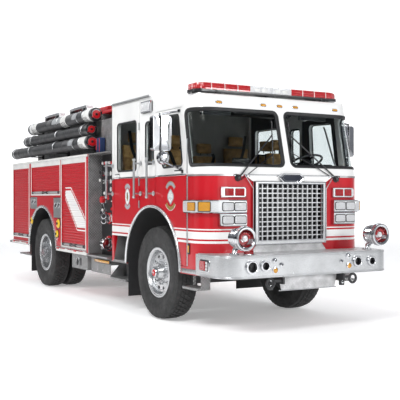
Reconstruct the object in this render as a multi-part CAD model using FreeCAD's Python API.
import FreeCAD, Part
import math
import os

# Custom-cab fire engine (pumper).  Millimetres, +X forward, +Y the vehicle's left, +Z up.
# Everything is laid out from the front axle, at ground level, and each piece is moved at the
# end so that the origin lies under the middle of the whole vehicle.

V = FreeCAD.Vector

# ---- running gear ---------------------------------------------------------------------
wheelbase = 4450.0
tyre_radius = 610.0
front_tyre_width = 310.0
rear_tyre_width = 285.0
rim_radius = 300.0
rim_lip_height = 30.0
front_tyre_face = 1150.0       # centre plane to the outer sidewall of a front tyre
rear_tyre_face = 1190.0        # centre plane to the outer sidewall of a rear tyre
dual_spacing = 335.0           # between the middles of twin tyres
bead_gap = 0.3
wheel_disc = 16.0
disc_dish = 22.0                 # bulge of a front wheel's disc
hand_holes = 10
hand_hole_radius = 27.0
hand_hole_ring = 215.0
front_disc_offset = 62.0       # wheel middle to disc, outwards
hub_radius = 105.0
hub_cap_radius = 62.0
hub_cap_length = 38.0
spindle_radius = 45.0
rear_spindle_radius = 62.0
bearing_gap = 0.3
brake_radius = 205.0
brake_gap = 6.0
brake_wall = 14.0
kingpin_y = 860.0
kingpin_radius = 38.0
knuckle_gap = 4.0
knuckle_ear = 34.0
steer_arm_reach = 180.0
steer_arm_height = 470.0
steer_arm_thick = 30.0
arm_end_radius = 26.0
tie_rod_radius = 18.0
tie_end_half = 23.0
tie_rod_gap = 0.3
ball_pin_radius = 12.0

# ---- chassis --------------------------------------------------------------------------
rail_outer = 432.0
rail_height = 250.0
rail_bottom = 710.0
rail_flange = 80.0
rail_web = 10.0
rail_rear = -6150.0
rail_front = 1848.0             # the rails end on the back of the bumper
rail_step_x = 1260.0
rail_step_top = 915.0
cross_width = 110.0
cross_height = 160.0
cross_places = (-6080.0, -5150.0, -3700.0, -2700.0, -1300.0, 900.0, 1730.0)
beam_width = 110.0
beam_depth = 110.0
beam_low = 440.0
beam_eye_radius = 58.0
beam_eye_height = 100.0
beam_bend_inner = 560.0
beam_bend_outer = 740.0
leaf_thick = 16.0
leaf_width = 80.0
leaf_middle = 400.0            # centre plane to a front spring's middle, under the rail
rear_leaf_middle = 490.0       # rear springs stand outside the rails
front_leaf_lengths = (1300.0, 1040.0, 780.0, 520.0)
rear_leaf_lengths = (1450.0, 1200.0, 950.0, 700.0)
hanger_length = 90.0
hanger_width = 60.0
rear_tube_radius = 78.0
diff_radius = 215.0
diff_length = 330.0
shaft_radius = 55.0
gearbox_half = 210.0
engine_rear = -980.0
engine_front = 700.0
engine_half = 320.0
engine_bottom = 620.0
engine_top = 1440.0
engine_mount = 40.0             # half length of each mounting foot
radiator_rear = 1130.0
radiator_thick = 110.0
radiator_half = 430.0
radiator_bottom = 960.0
radiator_top = 1770.0
tow_eye_x = 1845.0
tow_eye_y = 560.0
tow_eye_z = 636.0
tow_eye_radius = 52.0
tow_eye_bar = 15.0
rear_eye_x = -6170.0
rear_eye_z = 640.0
rear_eye_bore = 30.0
rear_eye_thick = 24.0
rear_eye_margin = 42.0
tank_front = -2330.0
tank_rear = -5250.0
tank_half = 560.0
fuel_front = -5230.0
fuel_rear = -6000.0
fuel_depth = 330.0

# ---- cab ------------------------------------------------------------------------------
cab_rear = -1354.0
cab_front = 1370.0
cab_half = 1205.0
cab_corner = 300.0
cab_wall = 50.0
cab_sill = 671.0
cab_belt = 1868.0
cab_floor = 1040.0
floor_thick = 45.0
front_lean = 0.2524            # how far the nose leans back for each unit of height
front_roof = 2855.0
roof_shoulder = 150.0
roof_step = 180.0              # rise from the front roof to the crew's roof
raised_roof = front_roof + roof_step
raised_shoulder = 95.0
raised_edge = -160.0           # front end of the raised roof's flat top
raised_slope = 1.153           # run over rise of the raised roof's front facet
rear_corner = 40.0
front_arch_x = -20.0
front_arch_z = 670.0
arch_radius = 800.0
liner_thick = 8.0
liner_gap = 0.6
liner_inner = 470.0            # centre plane to the inner end of a front wheel housing
trim_width = 26.0
trim_proud = 9.0
door_gap = 6.0
door_thick = 50.0
front_door_rear = 94.0
front_door_front = 933.0
front_door_bottom = 765.0
front_door_top = 2690.0
crew_door_rear = -1241.0
crew_door_front = -386.0
crew_door_bottom = 1050.0
crew_door_top = 2905.0
door_lean = 0.153              # lean of the front door's front edge above the belt
door_arch_gap = 34.0           # arch opening to the doors' cut-away edge
door_arch_ease = 1.4           # the front door's gap there, as a share of the others
door_rebate = 14.0             # how far its inner part stands back, so that it swings clear
door_skin = 20.0               # depth of the outer part that doesn't stand back
hinge_radius = 6.0
hinge_gap = 0.3                # barrel to the corner of the fixed panel beside it
glass_thick = 6.0
glass_inset = 18.0
glass_gap = 0.3
window_corner = 55.0
crew_window = (-1126.0, -488.0, 1960.0, 2640.0)        # rear, front, bottom, top
pillar_window = (-199.0, 45.0, 2030.0, 2590.0)
front_window = ((300.0, 1965.0), (840.0, 1978.0), (737.0, 2610.0), (250.0, 2624.0))
screen_bottom = 1966.0
screen_top = 2655.0
screen_post = 52.0             # centre plane to the inner edge of a windscreen pane
screen_rear_low = 1020.0
screen_rear_lean = 0.2
screen_corner = 70.0
rail_stand_off = 105.0
grab_radius = 16.0
grab_post_radius = 10.0
grab_low = 1600.0
grab_high = 2095.0
grab_places = (-1290.0, -342.0, 50.0)
drip_height = 22.0
drip_proud = 20.0
drip_z = raised_roof - raised_shoulder - drip_height
belt_height = 22.0
belt_proud = 8.0
crew_well_depth = 330.0
front_well_depth = 300.0
front_step_x0 = 830.0
front_step_x1 = 1180.0
front_step_z = 520.0
step_plate = 30.0
crew_step_x0 = -1400.0
crew_step_x1 = -835.0
crew_step_z = 407.0
crew_step_drop = 260.0
skin = 4.0

# ---- cab inside -----------------------------------------------------------------------
tunnel_half = 455.0
tunnel_top = 1520.0
tunnel_rear = -1080.0
tunnel_front = 1060.0
nose_box_half = 500.0
nose_box_top = 1800.0
tunnel_wall = 12.0
seat_width = 500.0
seat_depth = 480.0
seat_thick = 130.0
seat_back = 690.0
seat_back_thick = 120.0
seat_head = 190.0
pedestal_half = 150.0
dash_depth = 330.0
dash_top = 1985.0
knee_bottom = 1480.0
knee_depth = 120.0
steering_ring = 215.0
steering_tube = 14.0
steering_x = 900.0
steering_y = 610.0
steering_z = 2060.0
steering_boss = 60.0

# ---- nose -----------------------------------------------------------------------------
grille_half = 490.0
grille_bottom = 1070.0
grille_top = 1765.0
grille_border = 42.0
grille_proud = 45.0
grille_bar = 12.0
grille_columns = 13
grille_rows = 12
badge_half = 185.0
badge_height = 110.0
badge_z = 1830.0
hood_panel_low = 548.0
hood_panel_high = 669.0
hood_panel_top = 1862.0
hood_panel_thick = 22.0
ramp_low = 560.0
lamp_inner = 656.0
head_split_x = 1134.0
lamp_proud = 52.0
head_high = (1408.0, 1562.0)
head_low = (1256.0, 1402.0)
head_low_outer = 1017.0
turn_rear = 955.0
red_lamp_z = (1594.0, 1716.0)
red_lamp_outer = 992.0
red_lamp_proud = 32.0
lens_border = 16.0
lens_proud = 8.0
lens_seat = 12.0
marker_x_half = 38.0
marker_height = 24.0
marker_z = 2732.0
marker_places = (-885.0, -245.0, 0.0, 245.0, 885.0)
lightbar_x = 833.0
lightbar_half = 1100.0
lightbar_depth = 290.0
lightbar_base = 2880.0
lightbar_low = 2912.0
lightbar_top = 2997.0
lightbar_clear = 312.0
lightbar_foot = 810.0
lightbar_corner = 90.0
scene_lamp = (-279.0, 12.0, raised_roof - 323.0, raised_roof - 173.0)       # rear, front, bottom, top
scene_lamp_proud = 34.0
side_marker_x = 1000.0
side_marker_half = 22.0
side_marker_height = 120.0
side_marker_z = 976.0
bumper_front = 1860.0
bumper_half = 1229.0
bumper_rear = 1204.0
bumper_low = 682.0
bumper_high = 934.0
bumper_corner = 250.0
bumper_skin = 12.0
bumper_flange = 70.0
deck_thick = 5.0
deck_border = 30.0
cab_clear = 6.0
beacon_front = 1920.0
beacon_y = 987.0
beacon_z = 1135.0
beacon_radius = 136.0
beacon_body = 108.0
beacon_length = 215.0
beacon_base_x = 1665.0
beacon_stem = 26.0
horn_proud = 26.0
horn_rim = 9.0
horn_depth = 90.0
stud_proud = 20.0
beacon_bowl = 95.0
beacon_bulb = 62.0
side_lamp_x = (1303.0, 1530.0)
side_lamp_z = (738.0, 878.0)
deck_lamp_x = 1750.0
deck_lamp_y = (790.0, 900.0)
apron_x = 1745.0
apron_low = 505.0
wiper_z = 1825.0
wiper_rod = 9.0
wiper_proud = 32.0
blade_proud = 16.0               # middle of the blade to the screen's surround
# wipers: pivot's y, then the blade's top and bottom as (y, z)
wiper_table = ((-754.0, (-162.0, 2535.0), (-231.0, 2000.0)),
               (723.0, (81.0, 2546.0), (100.0, 2006.0)))
wiper_hold = 0.33              # share of the blade above the arm's end
mirror_x = 760.0
mirror_y = 1465.0
mirror_low = 2025.0
mirror_high = 2610.0
mirror_tube = 13.0
mirror_width = 243.0
mirror_middle = 1437.0
mirror_depth = 95.0
mirror_bottom = 2160.0
mirror_top = 2585.0
mirror_round = 78.0

# ---- pump house and body --------------------------------------------------------------
body_front = -2190.0
body_rear = -6250.0
body_half = 1239.0
body_low = 725.0
body_top = 2268.0
body_inner = 580.0
body_corner = 18.0
rear_arch_x = -4400.0
rear_arch_z = 660.0
rear_arch_radius = 760.0
# lockers on each side: rear end, front end, bottom, top
locker_table = ((-6222.0, -5200.0, 850.0, 2215.0),
                (-5040.0, -3478.0, 1655.0, 2215.0),
                (-3385.0, -2292.0, 792.0, 2215.0))
shutter_thick = 26.0
shutter_recess = 18.0
shutter_gap = 0.3
shutter_header = 66.0
lift_bar = 34.0
frame_border = 24.0
frame_proud = 6.0
# small fender doors: rear end, front end, bottom, top, hinged at the end away from the wheel
fender_doors = ((-5094.0, -4716.0, 1385.0, 1600.0, -1),
                (-3807.0, -3440.0, 1250.0, 1590.0, 1))
fender_door_thick = 22.0
fender_pocket = 120.0
pump_front = -1420.0
pump_half = 1000.0
pump_low = 700.0
panel_thick = 6.0
deep_reach = 84.0               # panel to the middle of the forward-facing suction
cross_bed_front = -1450.0
cross_bed_half = 1014.0
cross_bed_top = 2895.0
cross_bed_wall = 12.0
cross_lid_thick = 60.0
cross_open = 95.0              # height of the open slot under the crosslay cover
ledge_thick = 15.0
bed_floor = 1800.0
bed_wall = 30.0
upper_bed_half = 905.0
upper_bed_rear = -5700.0
upper_bed_top = 2960.0
bed_cover = 85.0
cover_lap = 20.0
# folded deck lights on the hose bed cover, right side: rear tip, front end
deck_lights = ((-5250.0, -4370.0), (-3900.0, -3020.0))
deck_light_y = 880.0
deck_light_half = 62.0
deck_light_rise = 45.0
deck_light_thick = 42.0
board_top = 708.0
board_thick = 24.0
board_skirt = 258.0
rub_high = 735.0
rub_low = 694.0
rub_proud = 22.0
rub_gap = 2.0                    # rub rail's end to the wheel arch trim
tail_rear = -6550.0
tail_corner = 90.0
rear_shutter_half = 480.0
rear_shutter = (900.0, 1700.0)
flap_thick = 9.0
flap_low = 215.0

# suction hoses: middle's distance from the centre plane, height, radius, front end, rear end
hose_table = ((body_half - 99.0, 2466.0, 95.0, -2262.0, -6330.0),
              (body_half - 134.0, 2672.0, 84.0, -2385.0, -5690.0),
              (body_half - 169.0, 2898.0, 95.0, -2262.0, -5480.0))
hose_cup_length = 60.0
hose_cup_proud = 9.0
hose_cap_radius = 45.0
hose_gap = 0.3
tray_wall = 5.0
tray_places = (-5250.0, -3850.0, -2620.0)
tray_post = 36.0
tray_post_y = body_half - 291.0
tray_bracket = 14.0
tray_end = 170.0
edge_trim = 32.0
edge_proud = 10.0
tail_lamp_y = (body_half - 229.0, body_half - 89.0)
tail_lamps = ((1010.0, 1130.0), (1160.0, 1280.0), (1310.0, 1430.0))    # bottom, top of each
tail_lamp_thick = 28.0
rear_rail_y = 640.0
rear_rail_stand = 75.0
rear_rail_z = (1000.0, 2100.0)
rail_post_inset = 45.0
# what hangs below the body
skirt_inset = 60.0             # body side to the running board's skirt
brace_length = 120.0
brace_height = 90.0
hang_inset = 20.0              # body side to the box and the rear step
under_box_x = (body_front - 750.0, body_front - 70.0)
under_box_depth = 310.0
under_box_low = 458.0
under_hole = (body_front - 490.0, 572.0, 58.0)         # x, z, radius
under_hole_depth = 40.0
rear_step_x = (body_rear + 400.0, body_rear + 1065.0)
rear_step_depth = 230.0
rear_step_z = 500.0
rear_step_post = 24.0
rear_step_web = 40.0
rear_step_ends = (20.0, 44.0)  # step's ends to its two posts
tail_bracket_y = 392.0
tail_bracket_half = 40.0
tail_bracket_drop = 60.0
tail_bracket_lap = (120.0, 160.0)

mid_x = (beacon_front + tail_rear) / 2
# middle of a hinge pin, outside the skin
hinge_out = math.sqrt((hinge_radius + hinge_gap) ** 2 - (door_gap / 2) ** 2)
knuckle_face = kingpin_y + beam_eye_radius + 36        # outer end of the knuckle's body


# ---- shapes ---------------------------------------------------------------------------
def box(x0, x1, y0, y1, z0, z1):
    return Part.makeBox(x1 - x0, y1 - y0, z1 - z0, V(x0, y0, z0))


def rod(start, end, radius):
    run = end - start
    return Part.makeCylinder(radius, run.Length, start, run)


def tube(start, end, outer, inner):
    return rod(start, end, outer).cut(rod(start, end, inner))


def fuse(shapes):
    whole = shapes[0]
    if len(shapes) > 1:
        whole = whole.fuse(shapes[1:])
    return whole.removeSplitter()


def mirrored(shape):
    return shape.mirror(V(0, 0, 0), V(0, 1, 0))


def both(shape):
    return [shape, mirrored(shape)]


def polygon(points):
    return Part.Wire(Part.makePolygon(points + [points[0]]).Edges)


def prism(points, run):
    return Part.Face(polygon(points)).extrude(run)


def side_prism(outline, y0, y1):
    """A prism across the vehicle from an outline of (x, z) points."""
    return prism([V(x, y0, z) for x, z in outline], V(0, y1 - y0, 0))


def rounded_wire(points, radii):
    """A closed outline whose corners are arcs tangent to both sides."""
    count = len(points)
    edges = []
    last = None
    first = None
    for i in range(count):
        corner = points[i]
        before = (points[i - 1] - corner).normalize()
        after = (points[(i + 1) % count] - corner).normalize()
        half = before.getAngle(after) / 2
        reach = radii[i] / math.tan(half)
        begin = corner + before * reach
        end = corner + after * reach
        middle = corner + (before + after).normalize() * (radii[i] / math.sin(half) - radii[i])
        if last is not None and (begin - last).Length > 1e-6:
            edges.append(Part.LineSegment(last, begin).toShape())
        if radii[i] > 1e-6:
            edges.append(Part.Arc(begin, middle, end).toShape())
        if first is None:
            first = begin
        last = end
    if (first - last).Length > 1e-6:
        edges.append(Part.LineSegment(last, first).toShape())
    return Part.Wire(edges)


def rounded_prism(points, radii, run):
    return Part.Face(rounded_wire(points, radii)).extrude(run)


def rounded_window(outline, radius, y0, y1):
    corners = [V(x, y0, z) for x, z in outline]
    return rounded_prism(corners, [radius] * len(corners), V(0, y1 - y0, 0))


def rectangle(x0, x1, z0, z1):
    return ((x0, z0), (x1, z0), (x1, z1), (x0, z1))


pieces = {}


def keep(name, shape):
    pieces[name] = shape


def compound(shapes):
    return Part.makeCompound(shapes)


# ---- wheels ---------------------------------------------------------------------------
def tyre(width, middle):
    """A tyre about the Y axis at y = middle, its bead on the rim."""
    half = width / 2
    bead = rim_radius + bead_gap
    outline = [(-half * 0.74, bead), (-half * 0.74, bead + rim_lip_height)]
    left = [V(0, middle + y, r) for y, r in outline]
    tread = half * 0.87
    shoulder = tyre_radius - 7
    p0 = left[0]
    p1 = left[1]
    p2 = V(0, middle - half * 0.97, shoulder - 32)
    p3 = V(0, middle - tread, shoulder)
    q3 = V(0, middle + tread, shoulder)
    q2 = V(0, middle + half * 0.97, shoulder - 32)
    q1 = V(0, middle + half * 0.74, bead + rim_lip_height)
    q0 = V(0, middle + half * 0.74, bead)
    wall = (bead + shoulder) / 2 + 30
    edges = [Part.LineSegment(p0, p1).toShape(),
             Part.Arc(p1, V(0, middle - half, wall), p2).toShape(),
             Part.LineSegment(p2, p3).toShape(),
             Part.Arc(p3, V(0, middle, tyre_radius), q3).toShape(),
             Part.LineSegment(q3, q2).toShape(),
             Part.Arc(q2, V(0, middle + half, wall), q1).toShape(),
             Part.LineSegment(q1, q0).toShape(),
             Part.LineSegment(q0, p0).toShape()]
    face = Part.Face(Part.Wire(edges))
    return face.revolve(V(0, 0, 0), V(0, 1, 0), 360)


def spun(points):
    """A solid turned about the Y axis from (y, r) points."""
    face = Part.Face(polygon([V(0, y, r) for y, r in points]))
    return face.revolve(V(0, 0, 0), V(0, 1, 0), 360)


def barrel_half(width):
    return width / 2 * 0.74 - 1


def rim(width, middle, disc, outward, dish):
    """A rim with its disc; outward is +1 when the disc bulges to +Y, and dish is how far it bulges."""
    half = barrel_half(width)
    lip = rim_radius + rim_lip_height
    inner = rim_radius - 16
    barrel = spun([(middle - half, inner), (middle + half, inner), (middle + half, rim_radius),
                   (middle - half, rim_radius)])
    lips = [spun([(middle + s * half, inner), (middle + s * (half + 12), inner + 8),
                  (middle + s * (half + 12), lip), (middle + s * (half + 1 + bead_gap), lip),
                  (middle + s * (half + 1 + bead_gap), rim_radius), (middle + s * half, rim_radius)])
            for s in (-1, 1)]
    edge = disc - outward * dish
    plate = spun([(edge, inner + 4), (disc, hand_hole_ring + hand_hole_radius + 10),
                  (disc, hub_radius - 20), (disc + outward * wheel_disc, hub_radius - 20),
                  (disc + outward * wheel_disc, hand_hole_ring + hand_hole_radius + 10),
                  (edge + outward * wheel_disc, inner + 4)])
    holes = []
    for i in range(hand_holes):
        angle = 2 * math.pi * i / hand_holes
        x = hand_hole_ring * math.cos(angle)
        z = hand_hole_ring * math.sin(angle)
        holes.append(rod(V(x, disc - 60, z), V(x, disc + 60, z), hand_hole_radius))
    return fuse([barrel, plate] + lips).cut(compound(holes))


def brake_drum(mouth, back):
    inside = brake_radius - brake_wall
    return spun([(mouth, inside), (back - brake_wall, inside), (back - brake_wall, hub_radius - 4),
                 (back, hub_radius - 4), (back, brake_radius), (mouth, brake_radius)])


def left_front_wheel():
    middle = front_tyre_face - front_tyre_width / 2
    disc = middle + front_disc_offset
    rubber = tyre(front_tyre_width, middle)
    wheel = rim(front_tyre_width, middle, disc, 1, disc_dish)
    start = knuckle_face + brake_gap
    hub = spun([(start, spindle_radius + bearing_gap), (disc + 70, spindle_radius + bearing_gap),
                (disc + 70, 0), (disc + 85 + hub_cap_length, 0), (disc + 85 + hub_cap_length, hub_cap_radius),
                (disc + 85, hub_cap_radius + 6), (disc + 30, hub_radius - 8), (disc, hub_radius),
                (start, hub_radius)])
    return fuse([wheel, hub, brake_drum(start, disc)]), rubber


def left_rear_wheels():
    outer = rear_tyre_face - rear_tyre_width / 2
    inner = outer - dual_spacing
    joint = (outer + inner) / 2
    rubber = [tyre(rear_tyre_width, inner), tyre(rear_tyre_width, outer)]
    dish = dual_spacing / 2 - barrel_half(rear_tyre_width)
    rims = [rim(rear_tyre_width, inner, joint - wheel_disc, 1, dish),
            rim(rear_tyre_width, outer, joint + wheel_disc, -1, dish)]
    bore = rear_spindle_radius + bearing_gap
    hub = spun([(joint - 90, bore), (joint + 110, bore), (joint + 110, 0), (joint + 110 + hub_cap_length, 0),
                (joint + 110 + hub_cap_length, hub_cap_radius + 20), (joint + 90, hub_radius),
                (joint - 90, hub_radius)])
    drum_end = inner - rear_tyre_width / 2 * 0.74 + 20
    return fuse(rims + [hub, brake_drum(drum_end, joint - 40)]), rubber


def place_wheel(shape, x):
    return shape.translated(V(x, 0, tyre_radius))


front_rim, front_rubber = left_front_wheel()
rear_rims, rear_rubber = left_rear_wheels()
keep("front_wheel_left", place_wheel(front_rim, 0))
keep("front_tyre_left", place_wheel(front_rubber, 0))
keep("rear_wheels_left", place_wheel(rear_rims, -wheelbase))
keep("rear_tyres_left", place_wheel(compound(rear_rubber), -wheelbase))
for piece in ("front_wheel", "front_tyre", "rear_wheels", "rear_tyres"):
    keep(piece + "_right", mirrored(pieces[piece + "_left"]))


# ---- axles, steering and springs --------------------------------------------------------
def front_axle():
    eye = tyre_radius - beam_eye_height / 2
    top = tyre_radius + beam_eye_height / 2
    end = kingpin_y
    high = [(beam_bend_inner, beam_low + beam_depth), (beam_bend_outer, top - 8), (end, top - 8)]
    low = [(end, eye + 8), (beam_bend_outer + 20, eye + 8), (beam_bend_inner + 20, beam_low)]
    right = high + low
    left = [(-y, z) for y, z in reversed(right)]
    outline = [V(-beam_width / 2, y, z) for y, z in right + left]
    beam = prism(outline, V(beam_width, 0, 0))
    eyes = [rod(V(0, s * kingpin_y, eye), V(0, s * kingpin_y, top), beam_eye_radius) for s in (-1, 1)]
    bottom = front_spring_bottom()
    pads = [box(-leaf_width, leaf_width, s * leaf_middle - leaf_width / 2, s * leaf_middle + leaf_width / 2,
                beam_low + beam_depth - 10, bottom) for s in (-1, 1)]
    bores = [rod(V(0, s * kingpin_y, eye - 5), V(0, s * kingpin_y, top + 5), kingpin_radius + bearing_gap)
             for s in (-1, 1)]
    return fuse([beam] + eyes + pads).cut(compound(bores))


def front_spring_bottom():
    return rail_bottom - 45 - leaf_thick * len(front_leaf_lengths)


def rear_spring_bottom():
    return tyre_radius + rear_tube_radius + 6


def leaf_pack(x, middle, bottom, lengths, hanger_inner, hanger_top):
    """Stepped leaves, the longest on top, with a hanger at each end up to the frame rail."""
    leaves = []
    for i, length in enumerate(reversed(lengths)):
        low = bottom + leaf_thick * i
        leaves.append(box(x - length / 2, x + length / 2, middle - leaf_width / 2,
                          middle + leaf_width / 2, low, low + leaf_thick))
    top = bottom + leaf_thick * len(lengths)
    for s in (-1, 1):
        end = x + s * (lengths[0] / 2 - hanger_length / 2)
        leaves.append(box(end - hanger_length / 2, end + hanger_length / 2, hanger_inner,
                          middle + leaf_width / 2 - 5, top - leaf_thick, hanger_top))
    return fuse(leaves)


def rear_axle():
    outer = rear_tyre_face - rear_tyre_width / 2
    joint = outer - dual_spacing / 2
    x = -wheelbase
    z = tyre_radius
    hub_start = joint - 90
    parts = [rod(V(x, -hub_start + 12, z), V(x, hub_start - 12, z), rear_tube_radius),
             rod(V(x, -joint - 95, z), V(x, joint + 95, z), rear_spindle_radius),
             rod(V(x, -diff_length / 2, z), V(x, diff_length / 2, z), diff_radius),
             rod(V(x, 0, z), V(x + diff_radius + 120, 0, z), 95)]
    for s in (-1, 1):
        parts.append(box(x - leaf_width, x + leaf_width, s * rear_leaf_middle - leaf_width / 2,
                         s * rear_leaf_middle + leaf_width / 2, z, rear_spring_bottom()))
    return fuse(parts)


def left_knuckle():
    """Steering knuckle: a fork round the axle's eye, the spindle, brake plate and steering arm."""
    low = tyre_radius - beam_eye_height / 2
    high = tyre_radius + beam_eye_height / 2
    pin = V(0, kingpin_y, 0)
    ear = beam_eye_radius
    ears = []
    foot = low - knuckle_gap - knuckle_ear
    head = high + knuckle_gap + knuckle_ear
    for z0, z1 in ((foot, low - knuckle_gap), (high + knuckle_gap, head)):
        ears.append(rod(pin + V(0, 0, z0), pin + V(0, 0, z1), ear))
        ears.append(box(-ear, ear, kingpin_y, kingpin_y + ear + 30, z0, z1))
    post = box(-ear, ear, kingpin_y + ear + 6, knuckle_face, foot, head)
    kingpin = rod(pin + V(0, 0, foot), pin + V(0, 0, head), kingpin_radius)
    middle = front_tyre_face - front_tyre_width / 2
    end = middle + front_disc_offset + 60
    spindle = rod(V(0, kingpin_y + ear, tyre_radius), V(0, end, tyre_radius), spindle_radius)
    arm_low = steer_arm_height
    inner = kingpin_y - arm_end_radius
    outer = kingpin_y + arm_end_radius
    arm = box(-steer_arm_reach, 0, inner, outer, arm_low, arm_low + steer_arm_thick)
    arm_tip = V(-steer_arm_reach, kingpin_y, arm_low)
    arm_end = rod(arm_tip, arm_tip + V(0, 0, steer_arm_thick), arm_end_radius)
    drop = box(-ear, ear, inner, outer, arm_low, foot + 5)
    pin_low = arm_tip - V(0, 0, tie_rod_gap + 2 * tie_end_half)
    ball_pin = rod(pin_low, arm_tip, ball_pin_radius)
    return fuse(ears + [post, kingpin, spindle, arm, arm_end, ball_pin, drop])


def tie_rod():
    """The bar between both steering arms, an eye at each end round the arm's pin."""
    z = steer_arm_height - tie_rod_gap - tie_end_half
    x = -steer_arm_reach
    reach = kingpin_y - (arm_end_radius + ball_pin_radius) / 2
    shapes = [rod(V(x, -reach, z), V(x, reach, z), tie_rod_radius)]
    bores = []
    for s in (-1, 1):
        low = V(x, s * kingpin_y, z - tie_end_half)
        high = V(x, s * kingpin_y, z + tie_end_half)
        shapes.append(rod(low, high, arm_end_radius))
        bores.append(rod(low, high, ball_pin_radius + bearing_gap))
    return fuse(shapes).cut(compound(bores))


keep("knuckle_left", left_knuckle())
keep("knuckle_right", mirrored(pieces["knuckle_left"]))
keep("tie_rod", tie_rod())
front_pack = leaf_pack(0, leaf_middle, front_spring_bottom(), front_leaf_lengths,
                       leaf_middle - hanger_width / 2, rail_bottom)
rear_pack = leaf_pack(-wheelbase, rear_leaf_middle, rear_spring_bottom(), rear_leaf_lengths,
                      rail_outer, rail_bottom + 150)
keep("leaf_springs", compound(both(front_pack) + both(rear_pack)))


# ---- frame and what hangs on it ---------------------------------------------------------
def frame_rails():
    top = rail_bottom + rail_height
    parts = []
    for s in (-1, 1):
        near = s * (rail_outer - rail_flange)
        far = s * rail_outer
        channel = box(rail_rear, rail_front, min(near, far), max(near, far), rail_bottom, top)
        web = s * (rail_outer - rail_web)
        inside = box(rail_rear - 1, rail_front + 1, min(near - s, web), max(near - s, web),
                     rail_bottom + rail_web, top - rail_web)
        channel = channel.cut(inside).cut(box(rail_step_x, rail_front + 1, -rail_outer - 1, rail_outer + 1,
                                              rail_step_top, top + 1))
        plates = [tow_eye(), rear_eye()]
        if s < 0:
            plates = [mirrored(plate) for plate in plates]
        parts.append(fuse([channel] + plates))
    half = rail_outer - rail_web
    low = rail_bottom + (rail_height - cross_height) / 2
    for x in cross_places:
        parts.append(box(x - cross_width / 2, x + cross_width / 2, -half, half, low, low + cross_height))
    return compound(parts)


def rear_eye():
    """A towing plate with a bore, on the outside of a rail's rear end."""
    y = rail_outer
    x = rear_eye_x
    z = rear_eye_z
    edge = rear_eye_margin
    plate = box(x - edge, rail_rear + 200, y, y + rear_eye_thick, z - edge, rail_bottom + 60)
    return plate.cut(rod(V(x, y - 1, z), V(x, y + rear_eye_thick + 1, z), rear_eye_bore))


def tow_eye():
    """A plate below the end of a rail with a shackle hung through it."""
    y = tow_eye_y
    rear = tow_eye_x - 150
    low = tow_eye_z - 40
    side = rail_outer + rear_eye_thick
    plate = fuse([box(rear, bumper_front - bumper_flange - cab_clear, rail_outer, side, low, rail_bottom + 60),
                  box(rear, tow_eye_x + 30, rail_outer, side, low, bumper_low - cab_clear)])
    arm = box(tow_eye_x - 30, tow_eye_x + 10, rail_outer + 20, y, tow_eye_z - 14, tow_eye_z + 14)
    middle = V(tow_eye_x - 10, y + tow_eye_radius - 6, tow_eye_z - 24)
    loop = Part.makeTorus(tow_eye_radius, tow_eye_bar, middle, V(1, 0, 0))
    return fuse([plate, arm, loop])


def engine():
    low = rail_bottom + rail_height + 8
    block = box(engine_rear, engine_front, -engine_half, engine_half, low, engine_top)
    sump = box(engine_rear + 150, engine_front - 250, -engine_half + 90, engine_half - 90, engine_bottom,
               rail_bottom + rail_height + 20)
    feet = []
    for x in (engine_rear + 120, engine_front - 120):
        feet.append(box(x - engine_mount, x + engine_mount, -rail_outer + 8, rail_outer - 8,
                        rail_bottom + rail_height, rail_bottom + rail_height + 60))
    return fuse([block, sump] + feet)


def driveline(axle):
    """Transfer gearbox hung between the rails, with its shafts to the engine and to an axle."""
    z = tyre_radius + 80
    gearbox_x = (pump_front + body_front) / 2
    gearbox = box(gearbox_x - gearbox_half, gearbox_x + gearbox_half, -gearbox_half, gearbox_half,
                  z - gearbox_half, z + gearbox_half)
    front = rod(V(gearbox_x + gearbox_half, 0, z), V(engine_rear + 150, 0, z), shaft_radius)
    low = rail_bottom + rail_web
    arm = box(gearbox_x - 60, gearbox_x + 60, -rail_outer + rail_web, rail_outer - rail_web, low, low + 40)
    gearbox = fuse([gearbox, arm])
    nose = V(-wheelbase + diff_radius + 120, 0, tyre_radius)
    rear = rod(V(gearbox_x - gearbox_half, 0, z), nose, shaft_radius).cut(gearbox).cut(axle)
    return [gearbox, front, rear]


def tanks():
    water = box(tank_rear, tank_front, -tank_half, tank_half, rail_bottom + rail_height, bed_floor - 25)
    low = rail_bottom + rail_web - fuel_depth + 120
    half = rail_outer - rail_flange - bead_gap
    fuel = box(fuel_rear, fuel_front - 40, -half, half, low, low + fuel_depth)
    return compound([water, fuel])


keep("frame_rails", frame_rails())
radiator = box(radiator_rear, radiator_rear + radiator_thick, -radiator_half, radiator_half, radiator_bottom,
               radiator_top)
keep("engine", compound([engine(), radiator]))
axle = rear_axle()
keep("axles_and_drive", compound([front_axle(), axle] + driveline(axle)))
keep("tanks", tanks())


# ---- cab shell --------------------------------------------------------------------------
def cab_plan(inset, front, z):
    """Plan outline of the cab at one height; front is how far forward the nose is there."""
    x0 = cab_rear + inset
    x1 = front - inset
    y = cab_half - inset
    back = max(rear_corner - inset, 4.0)
    nose = cab_corner - inset
    points = [V(x0, -y, z), V(x1, -y, z), V(x1, y, z), V(x0, y, z)]
    return rounded_wire(points, [back, nose, nose, back])


def nose_at(z):
    return cab_front - front_lean * max(z - cab_belt, 0)


def cab_lower_solid(inset, z0, z1):
    return Part.Face(cab_plan(inset, cab_front, z0)).extrude(V(0, 0, z1 - z0))


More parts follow.
